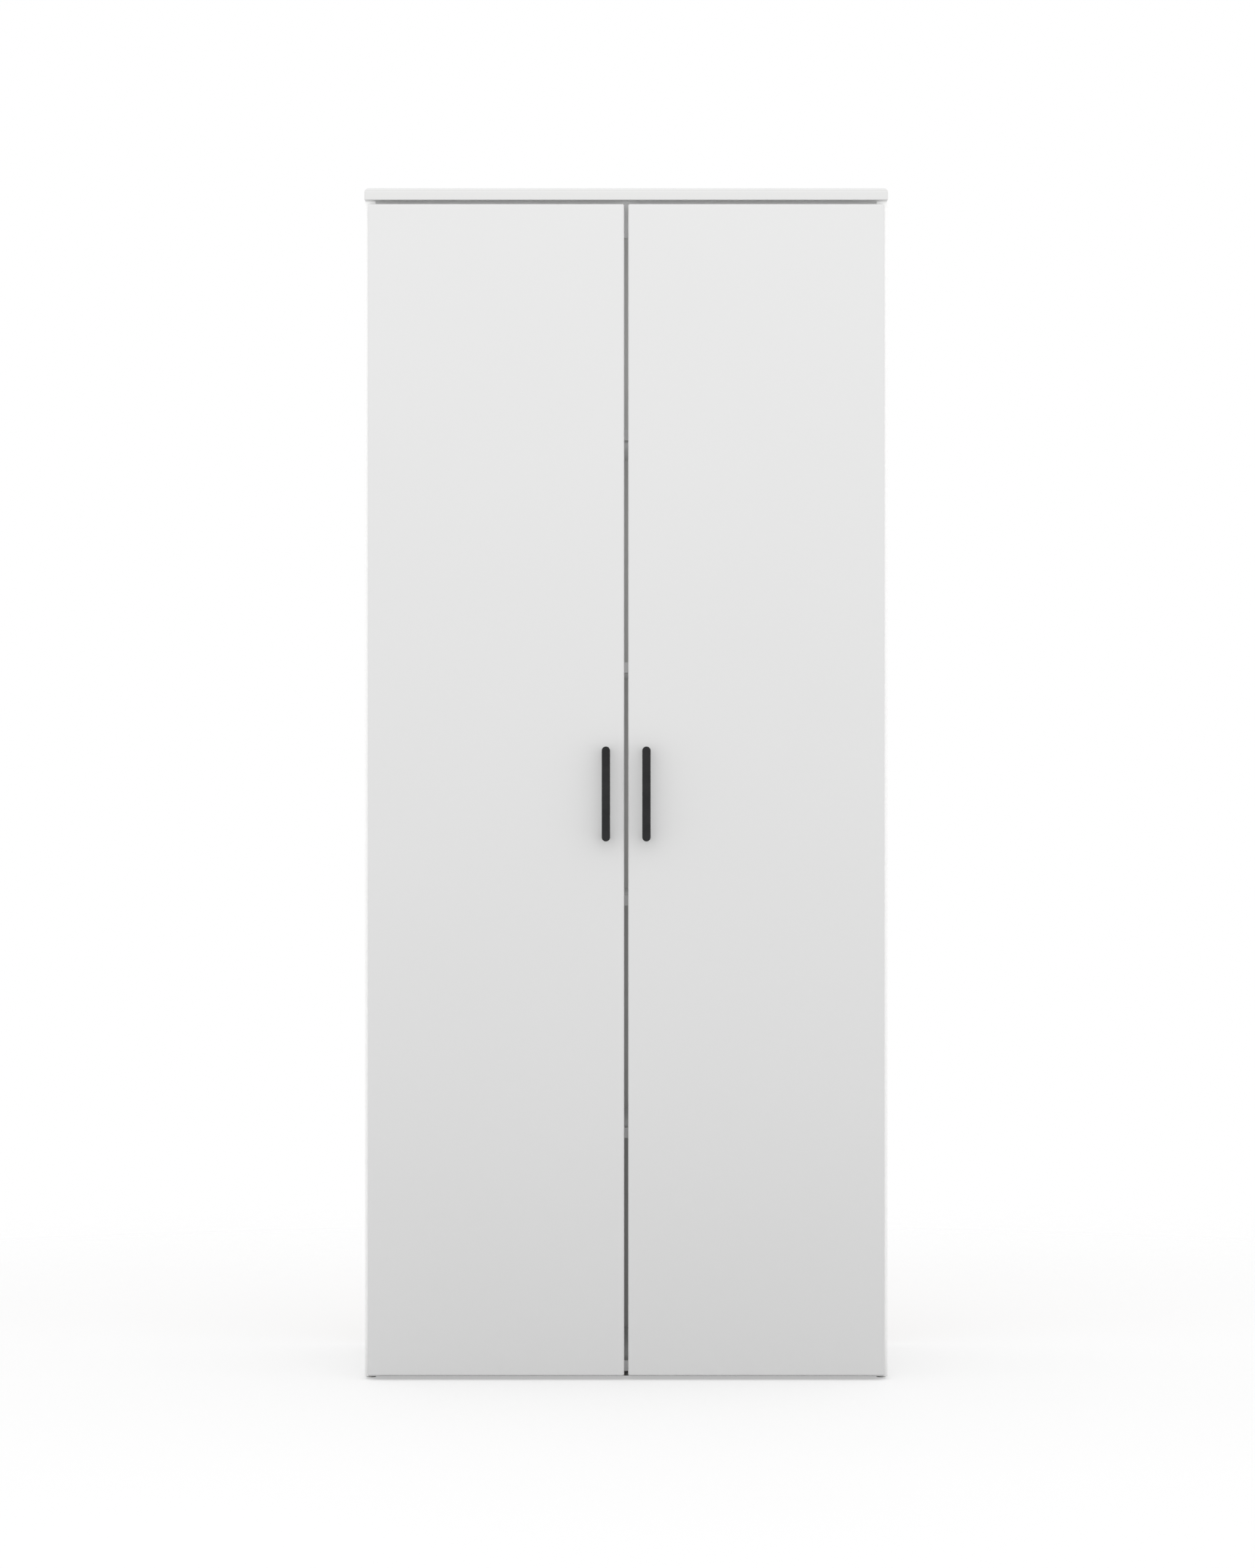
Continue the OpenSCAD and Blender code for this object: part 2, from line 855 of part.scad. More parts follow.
module left_hinge_arm_screws() {
    color("#c4c6c8") left_hinge_places() arm_screws();
}

module right_hinge_arm_screws() {
    color("#c4c6c8") right_hinge_places() arm_screws();
}

module left_hinge_arm_pins() {
    color("#b9b6ad") left_hinge_places() arm_pins();
}

module right_hinge_arm_pins() {
    color("#b9b6ad") right_hinge_places() arm_pins();
}

module left_outer_links() {
    color("#c8c4ba") left_hinge_places() outer_link();
}

module right_outer_links() {
    color("#c8c4ba") right_hinge_places() outer_link();
}

module left_inner_links() {
    color("#bdb9af") left_hinge_places() inner_link();
}

module right_inner_links() {
    color("#bdb9af") right_hinge_places() inner_link();
}

module left_hinge_cups() {
    color("#c8c4ba") left_hinge_places() hinge_cup();
}

module right_hinge_cups() {
    color("#c8c4ba") right_hinge_places() hinge_cup();
}

module left_hinge_cup_pins() {
    color("#b9b6ad") left_hinge_places() cup_pins();
}

module right_hinge_cup_pins() {
    color("#b9b6ad") right_hinge_places() cup_pins();
}

module left_hinge_cup_screws() {
    color("#c4c6c8") left_hinge_places() cup_screws();
}

module right_hinge_cup_screws() {
    color("#c4c6c8") right_hinge_places() cup_screws();
}

left_side();
right_side();
top_panel();
bottom_panel();
top_rail();
shelf_1();
shelf_2();
fixed_shelf();
shelf_4();
shelf_pins();
lower_back();
upper_back();
back_joint_strip();
back_nails();
cam_locks();
cam_bolts();
cam_caps();
dowels();
side_glides();
centre_feet();
wall_brackets();
wall_bracket_screws();
door_bumpers();
left_door();
left_handle();
left_handle_screws();
right_door();
right_handle();
right_handle_screws();
left_hinge_plates();
left_hinge_plate_screws();
left_hinge_arms();
left_hinge_arm_screws();
left_hinge_arm_pins();
left_outer_links();
left_inner_links();
left_hinge_cups();
left_hinge_cup_pins();
left_hinge_cup_screws();
right_hinge_plates();
right_hinge_plate_screws();
right_hinge_arms();
right_hinge_arm_screws();
right_hinge_arm_pins();
right_outer_links();
right_inner_links();
right_hinge_cups();
right_hinge_cup_pins();
right_hinge_cup_screws();
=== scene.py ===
# Looks of the two-door wardrobe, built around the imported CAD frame.
# Units are metres. The object stands on z = 0 and faces -Y, and its CAD nodes keep their places.
import math

import bmesh
import bpy
from mathutils import Matrix, Vector

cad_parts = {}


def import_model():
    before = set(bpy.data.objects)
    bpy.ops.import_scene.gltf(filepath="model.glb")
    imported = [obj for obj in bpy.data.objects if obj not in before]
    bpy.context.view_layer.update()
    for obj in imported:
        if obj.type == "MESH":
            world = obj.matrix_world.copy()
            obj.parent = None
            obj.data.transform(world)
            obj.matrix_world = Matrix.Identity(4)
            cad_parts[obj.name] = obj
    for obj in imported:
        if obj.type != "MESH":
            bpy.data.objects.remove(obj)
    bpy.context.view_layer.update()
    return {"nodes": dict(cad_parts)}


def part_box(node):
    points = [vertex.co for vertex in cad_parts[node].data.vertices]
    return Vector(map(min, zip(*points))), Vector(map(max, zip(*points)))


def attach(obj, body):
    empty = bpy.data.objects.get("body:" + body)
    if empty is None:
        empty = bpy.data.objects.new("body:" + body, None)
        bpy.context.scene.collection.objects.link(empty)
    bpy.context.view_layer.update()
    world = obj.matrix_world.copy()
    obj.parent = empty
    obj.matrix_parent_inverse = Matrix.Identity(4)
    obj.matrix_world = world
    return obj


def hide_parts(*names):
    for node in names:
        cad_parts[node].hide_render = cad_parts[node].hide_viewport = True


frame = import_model()
nodes = frame["nodes"]

MM = 0.001
X, Y, Z = 0, 1, 2
LOW, HIGH = 0, 1

SAME_POINT = 0.002 * MM       # corners this close are one corner of a CAD mesh
EMPTY_FACE = 0.01 * MM        # corners this close after rounding leave a face with no area
NEAR = 0.01 * MM              # an edge this close to a board's outer face lies in it
SHARP_FROM = math.radians(40.0)
SORT_DIGITS = 7               # decimals of a metre

# Mix node sockets for colours
MIX_FACTOR, MIX_A, MIX_B, MIX_RESULT = 0, 6, 7, 2


# ---- Material helpers ----

class Shader:
    """A new material with one Principled shader, and short calls for the nodes that feed it."""

    def __init__(self, name, colour, roughness, metallic=0.0):
        self.material = bpy.data.materials.new(name)
        self.material.use_nodes = True
        self.tree = self.material.node_tree
        self.principled = self.tree.nodes["Principled BSDF"]
        self.set("Base Color", (*colour, 1.0))
        self.set("Roughness", roughness)
        self.set("Metallic", metallic)
        self.place = self.tree.nodes.new("ShaderNodeTexCoord").outputs["Object"]

    def set(self, socket, value):
        self.principled.inputs[socket].default_value = value

    def node(self, kind, inputs=(), **settings):
        made = self.tree.nodes.new("ShaderNode" + kind)
        for key, value in settings.items():
            setattr(made, key, value)
        for key, value in dict(inputs).items():
            if isinstance(value, bpy.types.NodeSocket):
                self.tree.links.new(value, made.inputs[key])
            else:
                made.inputs[key].default_value = value
        return made

    def link(self, source, socket):
        self.tree.links.new(source, self.principled.inputs[socket])

    def stretched(self, scale):
        return self.node("Mapping", {"Vector": self.place, "Scale": scale}).outputs["Vector"]

    def noise(self, scale, detail=2.0, roughness=0.5, vector=None):
        return self.node("TexNoise", {
            "Vector": vector or self.place, "Scale": scale, "Detail": detail, "Roughness": roughness,
        }).outputs["Fac"]

    def cells(self, scale, vector=None):
        return self.node("TexVoronoi", {
            "Vector": vector or self.place, "Scale": scale,
        }).outputs["Distance"]

    def ranged(self, value, low, high, to_low=0.0, to_high=1.0):
        return self.node("MapRange", {
            "Value": value, "From Min": low, "From Max": high, "To Min": to_low, "To Max": to_high,
        }).outputs["Result"]

    def math(self, operation, a, b=0.0):
        return self.node("Math", {0: a, 1: b}, operation=operation).outputs["Value"]

    def mixed(self, factor, low, high):
        """Colour between two others."""
        made = self.node("Mix", data_type="RGBA")
        for index, value in ((MIX_FACTOR, factor), (MIX_A, low), (MIX_B, high)):
            if isinstance(value, bpy.types.NodeSocket):
                self.tree.links.new(value, made.inputs[index])
            else:
                made.inputs[index].default_value = value if index == MIX_FACTOR else (*value, 1.0)
        return made.outputs[MIX_RESULT]

    def bump(self, height, strength, distance, under=None):
        inputs = {"Height": height, "Strength": strength, "Distance": distance}
        if under is not None:
            inputs["Normal"] = under
        return self.node("Bump", inputs).outputs["Normal"]

    def axis(self, name):
        return self.node("SeparateXYZ", {"Vector": self.place}).outputs[name]

    def facing(self, name):
        """The surface normal's share along one object axis."""
        normal = self.node("TexCoord").outputs["Normal"]
        return self.node("SeparateXYZ", {"Vector": normal}).outputs[name]


# ---- Materials ----

BAND_T = 0.8 * MM
BAND_BLEND = 0.02 * MM
BAND_JOINT_IN = 0.06 * MM     # the dark line where banding meets board is full within this of its middle
BAND_JOINT_OUT = 0.2 * MM     # and has faded out at this
BANDING = (0.9, 0.9, 0.895)
TOP_BANDING = (0.785, 0.785, 0.78)
MELAMINE_ROUGHNESS = 0.42
SCREEN_PITCH = 1.6 * MM       # the press screen's print on the hardboard's rough side


def melamine(name, bands, banding=BANDING):
    """White melamine: a fine pearl texture, faint cloudiness, and the edge banding with its joint line.
    A band is (axis, edge, side): the coordinate of the banded edge, and +1 if the board lies above it."""
    s = Shader(name, (0.8, 0.8, 0.795), MELAMINE_ROUGHNESS)
    cloud = s.noise(5.0, 3.0)
    grime = s.noise(38.0, 4.0, 0.6)
    tone = s.mixed(s.ranged(cloud, 0.35, 0.65), (0.806, 0.808, 0.806), (0.792, 0.793, 0.788))
    tone = s.mixed(s.math("MULTIPLY", s.ranged(grime, 0.62, 0.8), 0.35), tone, (0.765, 0.765, 0.755))
    line = None
    for axis, edge, side in bands:
        inwards = s.math("MULTIPLY", s.math("SUBTRACT", s.axis(axis), edge), side)
        tone = s.mixed(s.ranged(inwards, BAND_T, BAND_T + BAND_BLEND), banding, tone)
        from_joint = s.math("ABSOLUTE", s.math("SUBTRACT", inwards, BAND_T))
        mask = s.ranged(from_joint, BAND_JOINT_IN, BAND_JOINT_OUT, 1.0, 0.0)
        line = mask if line is None else s.math("MAXIMUM", line, mask)
    s.link(s.mixed(s.math("MULTIPLY", line, 0.55), tone, (0.52, 0.51, 0.49)), "Base Color")
    s.link(s.ranged(s.noise(210.0, 3.0), 0.3, 0.7, MELAMINE_ROUGHNESS - 0.04, MELAMINE_ROUGHNESS + 0.05),
           "Roughness")
    pearl = s.math("ADD", s.cells(950.0), s.math("MULTIPLY", s.noise(1700.0), 0.7))
    fine = s.bump(pearl, 0.22, 0.06 * MM)
    s.link(s.bump(s.math("SUBTRACT", 1.0, line), 0.5, 0.1 * MM, fine), "Normal")
    s.set("Specular IOR Level", 0.45)
    return s.material


def door_foil():
    """Satin white foil drawn over the doors' soft edges: smoother than the melamine, with a slight orange
    peel."""
    s = Shader("door_satin_foil", (0.8, 0.8, 0.8), 0.34)
    cloud = s.noise(3.0, 2.0)
    s.link(s.mixed(s.ranged(cloud, 0.3, 0.7), (0.803, 0.804, 0.803), (0.796, 0.797, 0.795)), "Base Color")
    s.link(s.ranged(s.noise(130.0, 3.0), 0.3, 0.7, 0.31, 0.38), "Roughness")
    peel = s.math("ADD", s.noise(260.0, 2.0), s.math("MULTIPLY", s.noise(1500.0, 2.0), 0.35))
    s.link(s.bump(peel, 0.1, 0.08 * MM), "Normal")
    s.set("Coat Weight", 0.12)
    s.set("Coat Roughness", 0.18)
    return s.material


def hardboard():
    """Hardboard: painted white and smooth inside, raw brown with the press screen's print on the wall
    side."""
    s = Shader("hardboard_back", (0.8, 0.8, 0.79), 0.6)
    behind = s.ranged(s.facing("Y"), 0.4, 0.6)
    fibres = s.noise(160.0, 6.0, 0.7, s.stretched((1.0, 1.0, 0.35)))
    specks = s.noise(620.0, 3.0, 0.6)
    brown = s.mixed(s.ranged(fibres, 0.3, 0.7), (0.155, 0.083, 0.040), (0.265, 0.160, 0.086))
    brown = s.mixed(s.math("MULTIPLY", s.ranged(specks, 0.6, 0.75), 0.6), brown, (0.36, 0.24, 0.14))
    cloud = s.mixed(s.ranged(s.noise(4.0, 3.0), 0.35, 0.65), (0.80, 0.80, 0.79), (0.775, 0.775, 0.76))
    s.link(s.mixed(behind, cloud, brown), "Base Color")
    rough = s.ranged(specks, 0.3, 0.7, 0.5, 0.6)
    s.link(s.math("ADD", s.math("MULTIPLY", behind, 0.22), rough), "Roughness")
    weave_x = s.math("SINE", s.math("MULTIPLY", s.axis("X"), math.tau / SCREEN_PITCH))
    weave_z = s.math("SINE", s.math("MULTIPLY", s.axis("Z"), math.tau / SCREEN_PITCH))
    screen = s.math("MULTIPLY", s.math("MULTIPLY", weave_x, weave_z), behind)
    relief = s.math("ADD", s.math("MULTIPLY", screen, 0.5), s.math("MULTIPLY", specks, 0.8))
    s.link(s.bump(relief, 0.45, 0.12 * MM), "Normal")
    s.set("Specular IOR Level", 0.35)
    return s.material


def plastic(name, light, dark, roughness=0.42):
    """Moulded plastic with a fine spark-eroded texture."""
    s = Shader(name, light, roughness)
    s.link(s.mixed(s.ranged(s.noise(30.0, 3.0), 0.35, 0.65), light, dark), "Base Color")
    s.link(s.ranged(s.noise(480.0, 2.0), 0.3, 0.7, roughness - 0.06, roughness + 0.07), "Roughness")
    s.link(s.bump(s.noise(2600.0, 3.0), 0.25, 0.05 * MM), "Normal")
    s.set("Subsurface Weight", 0.08)
    s.set("Subsurface Scale", 0.002)
    return s.material


def plated(name, light, dark, roughness, stretch):
    """Plated steel: clouded plating, drawing marks along the part, and small pits."""
    s = Shader(name, light, roughness, 1.0)
    marks = s.noise(900.0, 3.0, 0.6, s.stretched(stretch))
    cloud = s.noise(70.0, 4.0, 0.6)
    tone = s.mixed(s.ranged(cloud, 0.35, 0.65), light, dark)
    tone = s.mixed(s.math("MULTIPLY", s.ranged(marks, 0.55, 0.8), 0.4), tone, tuple(c * 0.8 for c in dark))
    s.link(tone, "Base Color")
    s.link(s.ranged(s.math("ADD", cloud, s.math("MULTIPLY", marks, 0.5)), 0.45, 1.05,
                    roughness - 0.07, roughness + 0.12), "Roughness")
    pits = s.ranged(s.cells(1300.0), 0.0, 0.25)
    s.link(s.bump(s.math("ADD", marks, s.math("MULTIPLY", pits, 0.3)), 0.18, 0.04 * MM), "Normal")
    return s.material


def beech():
    """Turned beech dowels, grain along X with the short rays of beech."""
    s = Shader("beech", (0.6, 0.4, 0.24), 0.6)
    grain = s.noise(240.0, 5.0, 0.6, s.stretched((0.06, 1.0, 1.0)))
    rays = s.ranged(s.cells(900.0, s.stretched((0.12, 1.0, 1.0))), 0.02, 0.12, 1.0, 0.0)
    tone = s.mixed(s.ranged(grain, 0.3, 0.7), (0.66, 0.46, 0.29), (0.50, 0.32, 0.18))
    s.link(s.mixed(s.math("MULTIPLY", rays, 0.5), tone, (0.36, 0.21, 0.11)), "Base Color")
    s.link(s.ranged(grain, 0.3, 0.7, 0.52, 0.68), "Roughness")
    s.link(s.bump(grain, 0.4, 0.15 * MM), "Normal")
    return s.material


def soft_pad():
    """Milky soft polyurethane."""
    s = Shader("bumper_pad", (0.74, 0.77, 0.78), 0.26)
    cloud = s.ranged(s.noise(260.0, 2.0), 0.35, 0.65)
    s.link(s.mixed(cloud, (0.76, 0.79, 0.80), (0.70, 0.73, 0.74)), "Base Color")
    s.link(s.ranged(s.noise(700.0, 2.0), 0.3, 0.7, 0.2, 0.34), "Roughness")
    s.link(s.bump(s.noise(420.0, 2.0), 0.2, 0.1 * MM), "Normal")
    s.set("Subsurface Weight", 0.3)
    s.set("Subsurface Scale", 0.003)
    return s.material


def powder_coat():
    """Black powder coat: a fine leathery texture with faint lighter flecks."""
    s = Shader("black_powder_coat", (0.013, 0.013, 0.014), 0.5)
    flecks = s.ranged(s.noise(2300.0, 2.0), 0.62, 0.72)
    rub = s.ranged(s.noise(60.0, 3.0, 0.6), 0.35, 0.75)
    tone = s.mixed(rub, (0.010, 0.010, 0.011), (0.016, 0.016, 0.017))
    s.link(s.mixed(s.math("MULTIPLY", flecks, 0.4), tone, (0.05, 0.05, 0.052)), "Base Color")
    s.link(s.ranged(rub, 0.0, 1.0, 0.55, 0.44), "Roughness")
    s.set("Specular IOR Level", 0.3)
    leather = s.math("ADD", s.noise(1100.0, 3.0), s.math("MULTIPLY", s.cells(1500.0), 0.6))
    s.link(s.bump(leather, 0.4, 0.07 * MM), "Normal")
    return s.material


# ---- Finishes of the CAD nodes ----

BOARD_ROUND = 0.5 * MM
HARDBOARD_ROUND = 0.25 * MM
NAIL_SWELL = 0.35 * MM


def low(node, axis):
    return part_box(node)[LOW][axis]


def high(node, axis):
    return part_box(node)[HIGH][axis]


def paint(material, names):
    for name in names:
        for slot in nodes[name].material_slots:
            slot.material = material


def modifier(made, name, kind, **settings):
    added = made.modifiers.new(name, kind)
    for key, value in settings.items():
        setattr(added, key, value)


def flat_faces(made, keep_sharp):
    """Shades broad faces flat, so that only the rounded edges turn the light."""
    modifier(made, "flat_faces", "WEIGHTED_NORMAL", keep_sharp=keep_sharp, weight=100)


def soften(name, width, segments=2):
    """Rounds a CAD node's arrises with modifiers, which leave its mesh as it is."""
    node = nodes[name]
    modifier(node, "joined_faces", "WELD", merge_threshold=SAME_POINT)
    modifier(node, "rounded_arris", "BEVEL", width=width, segments=segments, limit_method="ANGLE",
             angle_limit=SHARP_FROM, use_clamp_overlap=False)
    modifier(node, "no_empty_faces", "WELD", merge_threshold=EMPTY_FACE)
    flat_faces(node, False)


uprights = ["left_side", "right_side"]
fixed_boards = ["bottom_panel", "fixed_shelf"]
loose_shelves = ["shelf_1", "shelf_2", "shelf_4"]
carcass_front = low("left_side", Y)
paint(melamine("melamine_upright", [("Y", carcass_front, 1)]), uprights)
paint(melamine("melamine_fixed_board", [("Y", carcass_front, 1)]), fixed_boards)
paint(melamine("melamine_loose_shelf", [("Y", low("shelf_1", Y), 1)]), loose_shelves)
paint(melamine("melamine_rail", [("Z", low("top_rail", Z), 1)]), ["top_rail"])
paint(hardboard(), ["lower_back", "upper_back"])
paint(plastic("white_strip", (0.80, 0.80, 0.79), (0.77, 0.77, 0.755)), ["back_joint_strip"])
paint(plastic("white_caps", (0.79, 0.79, 0.78), (0.75, 0.75, 0.735)), ["cam_caps"])
paint(plastic("grey_white_feet", (0.72, 0.72, 0.70), (0.66, 0.66, 0.64), 0.5),
      ["side_glides", "centre_feet"])
paint(plated("zinc_sheet", (0.66, 0.68, 0.70), (0.55, 0.57, 0.60), 0.33, (1.0, 0.3, 1.0)),
      ["wall_brackets"])
zinc_hardware = plated("zinc_hardware", (0.70, 0.71, 0.73), (0.58, 0.60, 0.62), 0.30, (0.4, 1.0, 1.0))
paint(zinc_hardware, [
    "shelf_pins", "cam_locks", "wall_bracket_screws", "back_nails",
    "left_handle_screws", "right_handle_screws",
])
paint(plated("yellow_zinc", (0.72, 0.66, 0.48), (0.60, 0.53, 0.36), 0.32, (0.3, 1.0, 1.0)),
      ["cam_bolts"])
paint(beech(), ["dowels"])
paint(soft_pad(), ["door_bumpers"])
nickel_sheet = plated("nickel_sheet", (0.71, 0.68, 0.63), (0.60, 0.57, 0.52), 0.24, (1.0, 0.35, 1.0))
nickel_turned = plated("nickel_turned", (0.74, 0.71, 0.66), (0.62, 0.59, 0.55), 0.20, (1.0, 1.0, 0.3))
for side in ("left", "right"):
    paint(nickel_sheet, [side + part for part in (
        "_hinge_plates", "_hinge_arms", "_outer_links", "_inner_links", "_hinge_cups")])
    paint(nickel_turned, [side + part for part in (
        "_hinge_plate_screws", "_hinge_arm_screws", "_hinge_arm_pins", "_hinge_cup_pins",
        "_hinge_cup_screws")])

for board in (*uprights, *fixed_boards, *loose_shelves, "top_rail"):
    soften(board, BOARD_ROUND)
for part in ("lower_back", "upper_back"):
    soften(part, HARDBOARD_ROUND, 1)


# The nail heads are level with the back in the CAD, so they are lifted a little off it here
modifier(nodes["back_nails"], "joined_faces", "WELD", merge_threshold=SAME_POINT)
modifier(nodes["back_nails"], "raised_heads", "DISPLACE", direction="NORMAL", mid_level=0.0,
         strength=NAIL_SWELL)


# ---- Doors and top panel: the CAD boards with soft edges ----

DOOR_ROUND = 3.0 * MM
TOP_ROUND = 7.0 * MM
TOP_UNDER_ROUND = 1.0 * MM
AROUND_DOOR = [(X, LOW), (X, HIGH), (Z, LOW), (Z, HIGH)]
AROUND_TOP = [(X, LOW), (X, HIGH), (Y, LOW)]      # the back edge stays square


def bevel(shape, edges, radius, segments):
    bmesh.ops.bevel(shape, geom=edges, offset=radius, segments=segments, profile=0.5, affect="EDGES",
                    clamp_overlap=False)


def object_from(name, shape, material):
    """A new object in the scene from a finished mesh. Its corners and faces are sorted by place, because
    the order that bmesh leaves them in can differ from run to run."""
    corners = sorted(shape.verts, key=lambda vert: [round(part, SORT_DIGITS) for part in vert.co])
    number = {vert: index for index, vert in enumerate(corners)}
    faces = []
    for face in shape.faces:
        ring = [number[vert] for vert in face.verts]
        first = ring.index(min(ring))
        faces.append(ring[first:] + ring[:first])
    sharp = {frozenset(number[vert] for vert in edge.verts) for edge in shape.edges if not edge.smooth}
    mesh = bpy.data.meshes.new(name)
    mesh.from_pydata([vert.co[:] for vert in corners], [], sorted(faces))
    shape.free()
    mesh.shade_smooth()
    for edge in mesh.edges:
        edge.use_edge_sharp = frozenset(edge.vertices) in sharp
    mesh.materials.append(material)
    made = bpy.data.objects.new(name, mesh)
    bpy.context.scene.collection.objects.link(made)
    return made


def add_piece(name, shape, material, node, body):
    """A smooth-shaded object from a finished mesh, which takes a CAD node's place."""
    bmesh.ops.recalc_face_normals(shape, faces=shape.faces)
    for edge in shape.edges:
        if len(edge.link_faces) == 2 and edge.calc_face_angle() > SHARP_FROM:
            edge.smooth = False
    made = object_from(name, shape, material)
    flat_faces(made, True)
    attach(made, body)
    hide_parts(node)


def soft_board(node, body, material, rounds):
    """The CAD board's own mesh, joined up, with its outline edges rounded. Each round is
    (test, radius, segments). The test says which edges it takes, from the two ends of an edge and the
    board's two corners."""
    shape = bmesh.new()
    shape.from_mesh(nodes[node].data)
    bmesh.ops.remove_doubles(shape, verts=shape.verts, dist=SAME_POINT)
    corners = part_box(node)
    for test, radius, segments in rounds:
        picked = [e for e in shape.edges if test(e.verts[0].co, e.verts[1].co, corners)]
        bevel(shape, picked, radius, segments)
    bmesh.ops.remove_doubles(shape, verts=shape.verts, dist=EMPTY_FACE)
    bmesh.ops.dissolve_degenerate(shape, edges=shape.edges[:], dist=EMPTY_FACE)
    add_piece(node + "_soft_edged", shape, material, node, body)


def lies_in(a, b, corners, axis, end):
    """True if both ends of an edge lie in the board's LOW or HIGH face on an axis."""
    wanted = corners[end][axis]
    return abs(a[axis] - wanted) < NEAR and abs(b[axis] - wanted) < NEAR


def rim(axis, end, sides):
    """Test for the outline edges of one face, where it meets the given (axis, end) faces."""
    def test(a, b, corners):
        return lies_in(a, b, corners, axis, end) and any(lies_in(a, b, corners, *side) for side in sides)
    return test


def door_outline(a, b, corners):
    """The door's front rim, and its four short edges through the thickness."""
    through = (any(lies_in(a, b, corners, X, end) for end in (LOW, HIGH))
               and any(lies_in(a, b, corners, Z, end) for end in (LOW, HIGH)))
    return through or rim(Y, LOW, AROUND_DOOR)(a, b, corners)


foil = door_foil()
for side in ("left", "right"):
    soft_board(side + "_door", side + "_door_leaf", foil, [
        (door_outline, DOOR_ROUND, 5),
        (rim(Y, HIGH, AROUND_DOOR), BOARD_ROUND, 2),
    ])
top_finish = melamine("melamine_top", [
    ("Y", low("top_panel", Y), 1), ("X", low("top_panel", X), 1), ("X", high("top_panel", X), -1),
], TOP_BANDING)
soft_board("top_panel", "carcass", top_finish, [
    (rim(Z, HIGH, AROUND_TOP), TOP_ROUND, 8),
    (rim(Z, LOW, AROUND_TOP), TOP_UNDER_ROUND, 3),
])


# ---- Handles: finely rounded bars on two turned posts, in the space of the CAD handles ----

HANDLE_T = 8.0 * MM
HANDLE_ROUND = 0.9 * MM
POST_R = 4.0 * MM
POST_PITCH = 128.0 * MM
POST_INTO_BAR = 1.0 * MM
POST_SEGMENTS = 40
END_STEPS = 28


def handle_bar(shape, low_corner, high_corner):
    """Flat bar with half-round ends and softened edges."""
    middle_x = (low_corner[X] + high_corner[X]) / 2
    radius = (high_corner[X] - low_corner[X]) / 2
    rim_points = []
    for end_z, start in ((high_corner[Z] - radius, 0.0), (low_corner[Z] + radius, math.pi)):
        for step in range(END_STEPS + 1):
            angle = start + math.pi * step / END_STEPS
            rim_points.append((middle_x + radius * math.cos(angle), low_corner[Y],
                               end_z + radius * math.sin(angle)))
    front = shape.faces.new([shape.verts.new(point) for point in rim_points])
    pushed = bmesh.ops.extrude_face_region(shape, geom=[front], use_keep_orig=True)["geom"]
    for vert in pushed:
        if isinstance(vert, bmesh.types.BMVert):
            vert.co.y += HANDLE_T
    outline = [e for e in shape.edges if abs(e.verts[0].co.y - e.verts[1].co.y) < NEAR]
    bevel(shape, outline, HANDLE_ROUND, 4)


def handle_post(shape, place_x, place_z, bar_back_y, door_y):
    """Round post from the door's face into the bar's back."""
    length = door_y - bar_back_y + POST_INTO_BAR
    turned = Matrix.Rotation(math.radians(90.0), 4, "X")
    centre = Matrix.Translation((place_x, door_y - length / 2, place_z))
    bmesh.ops.create_cone(shape, cap_ends=True, segments=POST_SEGMENTS, radius1=POST_R, radius2=POST_R,
                          depth=length, matrix=centre @ turned)


coat = powder_coat()
for side in ("left", "right"):
    node = side + "_handle"
    low_corner, high_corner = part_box(node)
    shape = bmesh.new()
    handle_bar(shape, low_corner, high_corner)
    for end in (-1, 1):
        handle_post(shape, (low_corner[X] + high_corner[X]) / 2,
                    (low_corner[Z] + high_corner[Z]) / 2 + end * POST_PITCH / 2,
                    low_corner[Y] + HANDLE_T, high_corner[Y])
    add_piece(side + "_handle_bar", shape, coat, node, side + "_door_leaf")


# ---- Floor, light and camera ----

SKY = 1.0
FLOOR_GLOW = 0.45
FLOOR_FADE = 1.3
FLOOR_R = 3.4
FLOOR_SEGMENTS = 96

KEY_PLACE = (0.0, -3.5, 3.2)
KEY_AIM = (0.0, -0.25, 0.9)
KEY_W = 3.0
KEY_H = 1.6
KEY_WATTS = 12.0

INSIDE_LAMP_Y = -0.19
INSIDE_LAMP_W = 0.6
INSIDE_LAMP_H = 0.26
INSIDE_WATTS = 0.16
INSIDE_WATTS_STEP = 0.06

EDGE_LIGHT = 0.62
EDGE_LIGHT_SPREAD = math.radians(5.0)

SENSOR = 36.0
FRAME_H = 2.367               # height that the camera sees at the doors
CAMERA_AWAY = 8.0
CAMERA_X = 0.002
CAMERA_Z = 0.9
CLIP_END = 200.0
AHEAD = (math.radians(90.0), 0.0, 0.0)      # turns a light or camera to look along +Y


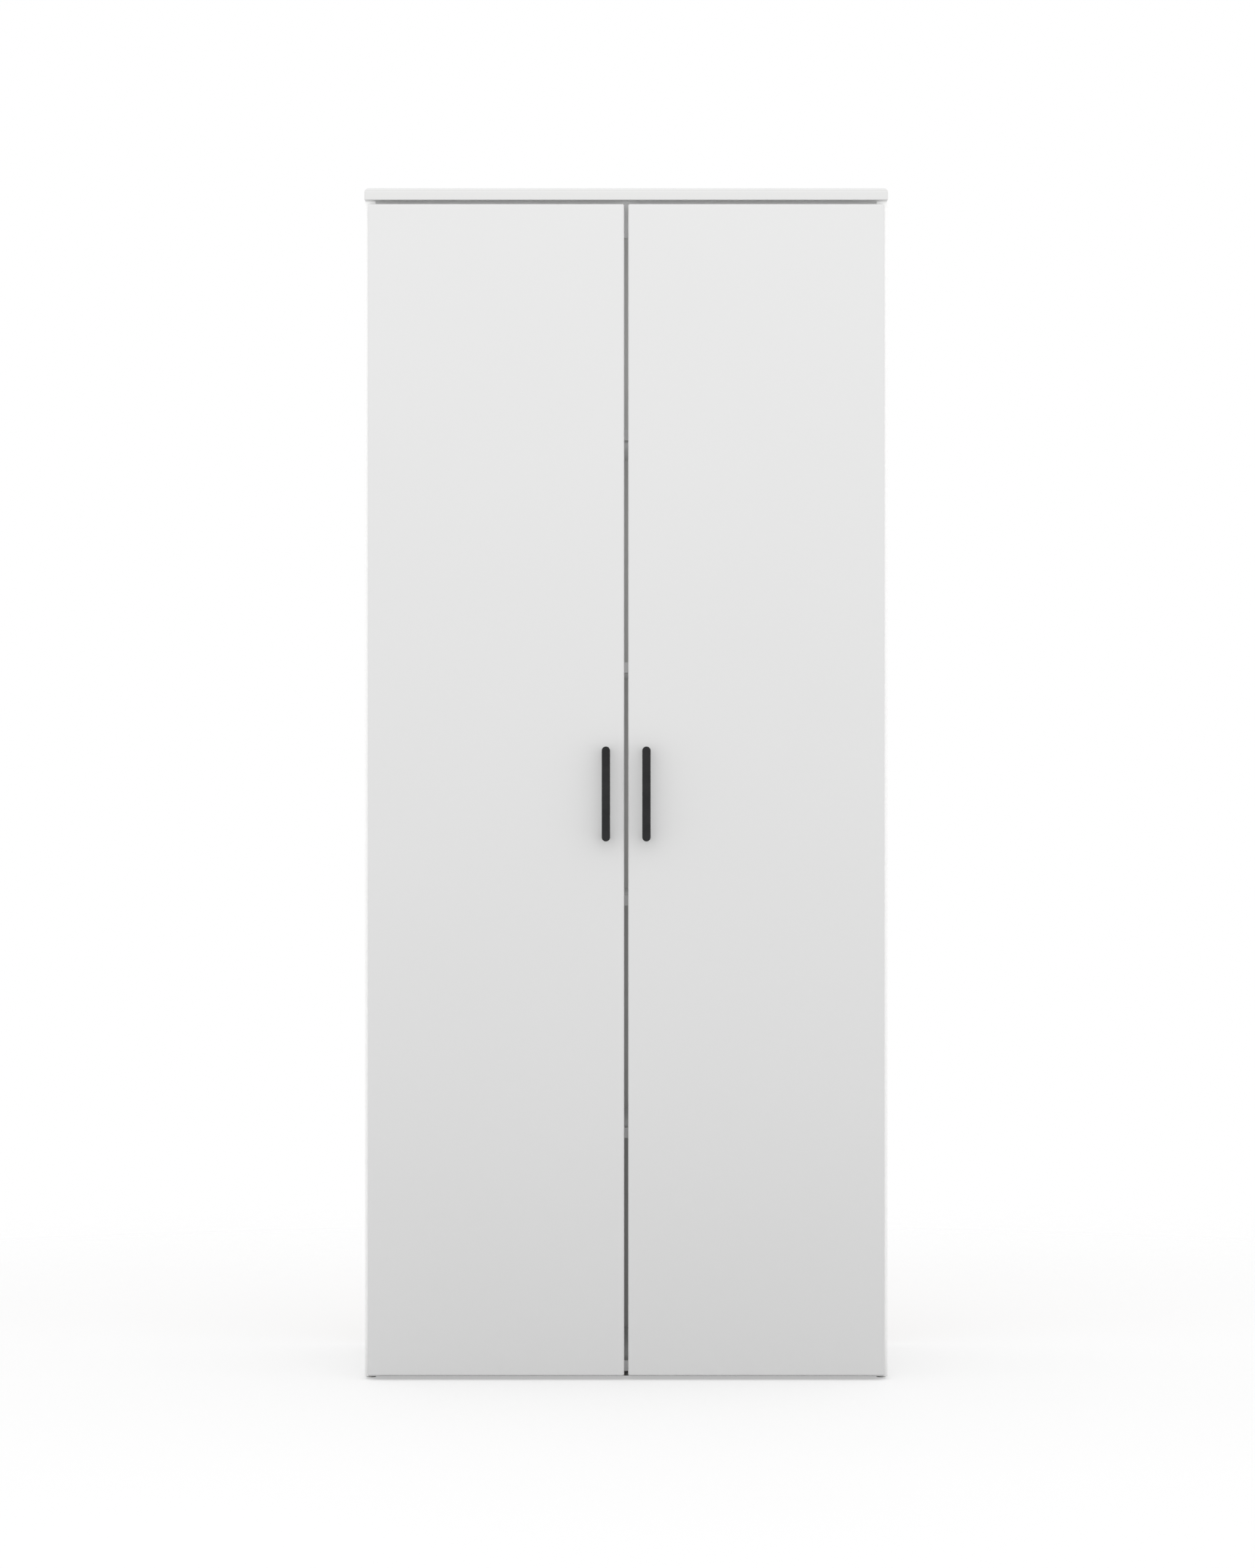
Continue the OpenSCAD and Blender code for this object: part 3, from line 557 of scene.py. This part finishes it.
def floor():
    """Pale floor that fades out into the white surroundings. It throws back only part of the light, as a
    floor seen from a distance does, and its glow is seen but lights nothing."""
    s = Shader("studio_floor", (0.5, 0.5, 0.5), 0.7)
    cloud = s.ranged(s.noise(0.6, 2.0), 0.3, 0.7)
    s.link(s.mixed(cloud, (0.51, 0.51, 0.51), (0.5, 0.5, 0.5)), "Base Color")
    s.set("Specular IOR Level", 0.15)
    s.set("Emission Color", (1.0, 1.0, 1.0, 1.0))
    seen = s.node("LightPath").outputs["Is Camera Ray"]
    s.link(s.math("MULTIPLY", seen, FLOOR_GLOW), "Emission Strength")
    away = s.node("VectorMath", {0: s.place}, operation="LENGTH").outputs["Value"]
    s.link(s.node("MapRange", {
        "Value": away, "From Min": FLOOR_FADE, "From Max": FLOOR_R, "To Min": 1.0, "To Max": 0.0,
    }, interpolation_type="SMOOTHSTEP").outputs["Result"], "Alpha")
    shape = bmesh.new()
    bmesh.ops.create_circle(shape, cap_ends=True, radius=FLOOR_R, segments=FLOOR_SEGMENTS)
    object_from("studio_floor", shape, s.material)


def area_light(name, place, aim, width, height, watts):
    data = bpy.data.lights.new(name, "AREA")
    data.shape = "RECTANGLE"
    data.size = width
    data.size_y = height
    data.energy = watts
    made = bpy.data.objects.new(name, data)
    made.location = place
    made.rotation_mode = "QUATERNION"
    made.rotation_quaternion = (Vector(aim) - Vector(place)).to_track_quat("-Z", "Y")
    bpy.context.scene.collection.objects.link(made)
    return made


def inside_lights():
    """A faint light in each compartment, stronger towards the top, so that what shows through the narrow
    gaps round the doors isn't black."""
    boards = ["bottom_panel", "shelf_1", "shelf_2", "fixed_shelf", "shelf_4", "top_rail"]
    for index, (under, over) in enumerate(zip(boards, boards[1:])):
        middle = (high(under, Z) + low(over, Z)) / 2
        lamp = area_light(f"inside_{index + 1}", (0.0, INSIDE_LAMP_Y, middle),
                          (0.0, high("upper_back", Y), middle), INSIDE_LAMP_W, INSIDE_LAMP_H,
                          INSIDE_WATTS + index * INSIDE_WATTS_STEP)
        lamp.visible_camera = False


def edge_light():
    """A soft light from straight ahead that only the side panels receive, so that their front edges beside
    the doors, which the doors shade, are as pale as in the photo. It grazes every other face of them."""
    receivers = bpy.data.collections.new("side_panels")
    for board in uprights:
        receivers.objects.link(nodes[board])
    data = bpy.data.lights.new("edge_light", "SUN")
    data.energy = EDGE_LIGHT
    data.angle = EDGE_LIGHT_SPREAD
    made = bpy.data.objects.new("edge_light", data)
    made.rotation_euler = AHEAD
    bpy.context.scene.collection.objects.link(made)
    made.light_linking.receiver_collection = receivers


def world():
    """Even white surroundings that light the object softly."""
    made = bpy.data.worlds.new("studio")
    made.use_nodes = True
    background = made.node_tree.nodes["Background"]
    background.inputs["Color"].default_value = (1.0, 1.0, 1.0, 1.0)
    background.inputs["Strength"].default_value = SKY
    bpy.context.scene.world = made


def add_camera():
    """Straight on at half height, as in the photo, with a long lens."""
    data = bpy.data.cameras.new("camera")
    data.sensor_width = SENSOR
    data.lens = SENSOR * CAMERA_AWAY / FRAME_H
    data.clip_end = CLIP_END
    made = bpy.data.objects.new("camera", data)
    made.location = (CAMERA_X, low("left_door", Y) - CAMERA_AWAY, CAMERA_Z)
    made.rotation_euler = AHEAD
    bpy.context.scene.collection.objects.link(made)
    bpy.context.scene.camera = made


floor()
world()
area_light("front_high", KEY_PLACE, KEY_AIM, KEY_W, KEY_H, KEY_WATTS)
inside_lights()
edge_light()
add_camera()
bpy.context.scene.view_settings.view_transform = "Standard"
